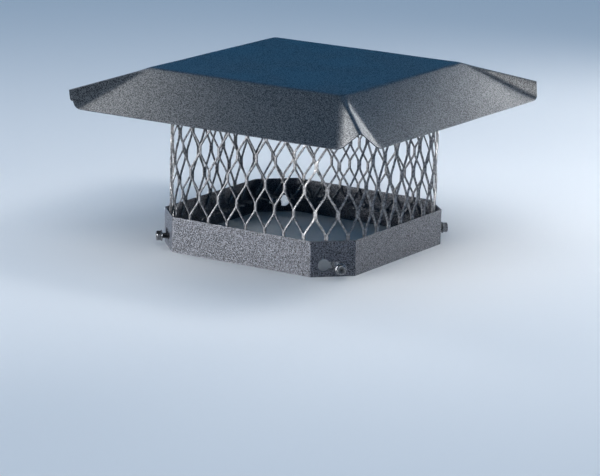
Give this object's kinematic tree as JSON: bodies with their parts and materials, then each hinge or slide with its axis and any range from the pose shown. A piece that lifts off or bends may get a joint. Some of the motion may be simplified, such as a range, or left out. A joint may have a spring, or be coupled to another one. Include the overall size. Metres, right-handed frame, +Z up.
{
  "type": "chimney rain cap",
  "caption": "Bolt-on chimney rain cap: folded square sheet hood over an expanded-metal screen, on a collar band with keyholes and sliding clamp bolts for a square flue tile.",
  "frame": {"origin": "centre of the collar band's lower edge, the lowest plane of the part", "axes": "+Z up towards the hood; -Y is the side seen at the left in the picture and +X the side seen at the right, so the corner at +X -Y is the front one; bolts lie on the diagonals"},
  "size_m": [0.3812, 0.3812, 0.1947],
  "materials": {
    "hood_coat": "textured semi-gloss charcoal black powder coat on folded steel sheet",
    "screen_coat": "semi-gloss black coat on expanded steel strands",
    "band_coat": "coarse textured charcoal black powder coat on steel strip",
    "bolt_zinc": "dark zinc plated steel, rubbed brighter on thread crests and flats",
    "nut_zinc": "dull dark zinc plated steel"
  },
  "bodies": {
    "cap": {"hood": "hood_coat", "screen": "screen_coat", "collar_band": "band_coat"},
    "nut_front": {"clamp_nut_front": "nut_zinc"},
    "bolt_front": {"clamp_bolt_front": "bolt_zinc"},
    "nut_right": {"clamp_nut_right": "nut_zinc"},
    "bolt_right": {"clamp_bolt_right": "bolt_zinc"},
    "nut_back": {"clamp_nut_back": "nut_zinc"},
    "bolt_back": {"clamp_bolt_back": "bolt_zinc"},
    "nut_left": {"clamp_nut_left": "nut_zinc"},
    "bolt_left": {"clamp_bolt_left": "bolt_zinc"}
  },
  "joints": [
    {"name": "keyhole_slide_front", "type": "slide", "parent": "cap", "child": "nut_front", "axis": [-0.7071, -0.7071, 0], "range_m": [0, 0.0135]},
    {"name": "bolt_travel_front", "type": "slide", "parent": "nut_front", "child": "bolt_front", "axis": [0.7071, -0.7071, 0], "range_m": [-0.0175, 0.003]},
    {"name": "keyhole_slide_right", "type": "slide", "parent": "cap", "child": "nut_right", "axis": [0.7071, -0.7071, 0], "range_m": [-0.004, 0.0095]},
    {"name": "bolt_travel_right", "type": "slide", "parent": "nut_right", "child": "bolt_right", "axis": [0.7071, 0.7071, 0], "range_m": [-0.0065, 0.014]},
    {"name": "keyhole_slide_back", "type": "slide", "parent": "cap", "child": "nut_back", "axis": [0.7071, 0.7071, 0], "range_m": [-0.004, 0.0095]},
    {"name": "bolt_travel_back", "type": "slide", "parent": "nut_back", "child": "bolt_back", "axis": [-0.7071, 0.7071, 0], "range_m": [-0.0065, 0.014]},
    {"name": "keyhole_slide_left", "type": "slide", "parent": "cap", "child": "nut_left", "axis": [-0.7071, 0.7071, 0], "range_m": [-0.004, 0.0095]},
    {"name": "bolt_travel_left", "type": "slide", "parent": "nut_left", "child": "bolt_left", "axis": [-0.7071, -0.7071, 0], "range_m": [-0.0065, 0.014]}
  ]
}
